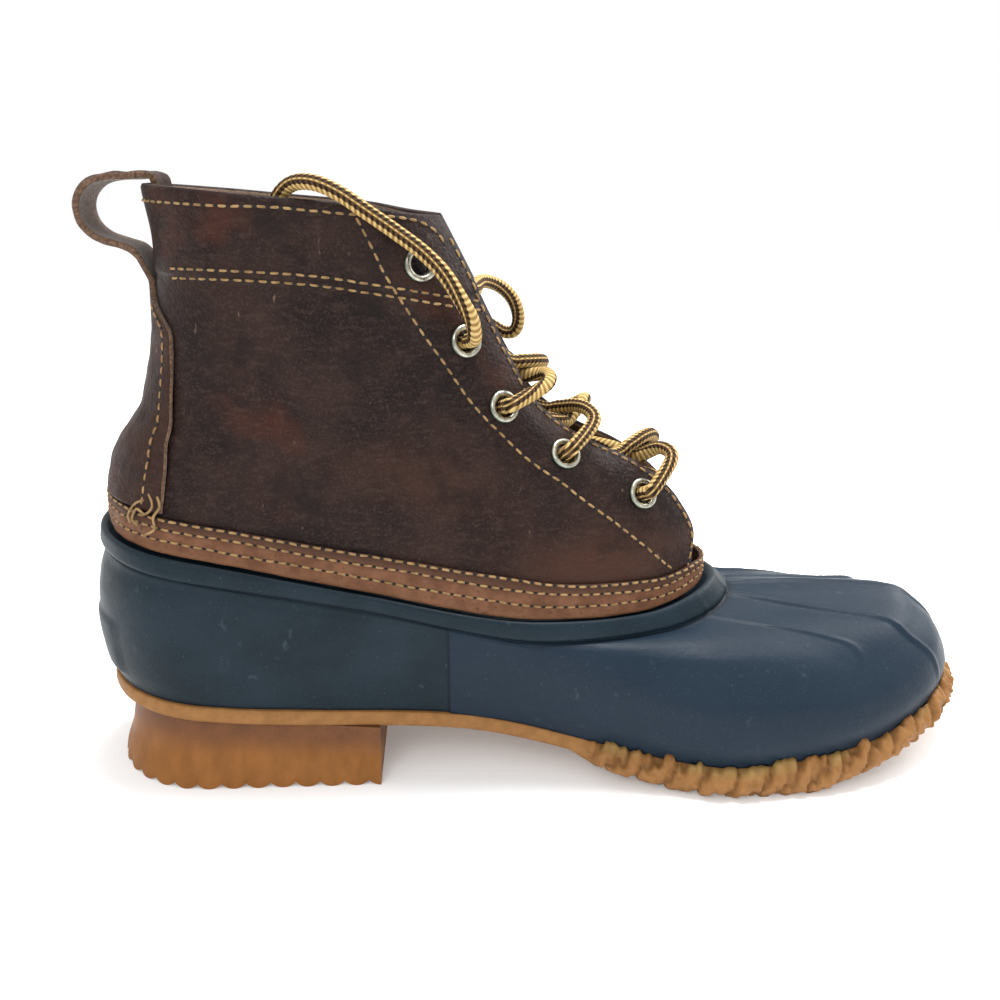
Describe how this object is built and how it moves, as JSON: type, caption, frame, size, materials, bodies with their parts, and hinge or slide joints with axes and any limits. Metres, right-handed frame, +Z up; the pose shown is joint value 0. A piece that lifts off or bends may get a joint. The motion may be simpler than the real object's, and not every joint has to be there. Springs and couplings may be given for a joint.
{
  "type": "duck boot",
  "caption": "Left ankle-high duck boot: navy moulded rubber lower, brown leather upper, gum sole with a heel block and chain edge, laced through metal eyelets.",
  "frame": {"origin": "centre of the heel block's flat bottom, on the floor", "axes": "+X towards the toe, +Z up, -Y towards the inner (medial) side of the foot"},
  "size_m": [0.2856, 0.1064, 0.1844],
  "materials": {
    "navy_rubber": "matt moulded rubber",
    "gum_rubber": "satin crepe gum rubber",
    "brown_leather": "waxed full-grain leather",
    "band_leather": "waxed leather with worn edges",
    "insole_board": "brushed fabric on a plain footbed",
    "eyelet_metal": "plated metal, slightly dulled",
    "lace_cord": "round braided cord, two colours",
    "thread": "waxed thread"
  },
  "bodies": {
    "root": {"rubber_shell": "navy_rubber", "outsole": "gum_rubber", "heel_block": "gum_rubber", "insole": "insole_board", "upper": "brown_leather", "tongue": "brown_leather", "backstay_loop": "brown_leather", "seam_band": "band_leather", "eyelet_medial_1": "eyelet_metal", "eyelet_medial_2": "eyelet_metal", "eyelet_medial_3": "eyelet_metal", "eyelet_medial_4": "eyelet_metal", "eyelet_medial_5": "eyelet_metal", "eyelet_lateral_1": "eyelet_metal", "eyelet_lateral_2": "eyelet_metal", "eyelet_lateral_3": "eyelet_metal", "eyelet_lateral_4": "eyelet_metal", "eyelet_lateral_5": "eyelet_metal", "lace_crossings": "lace_cord", "lace_end_medial": "lace_cord", "lace_end_lateral": "lace_cord"}
  },
  "joints": []
}
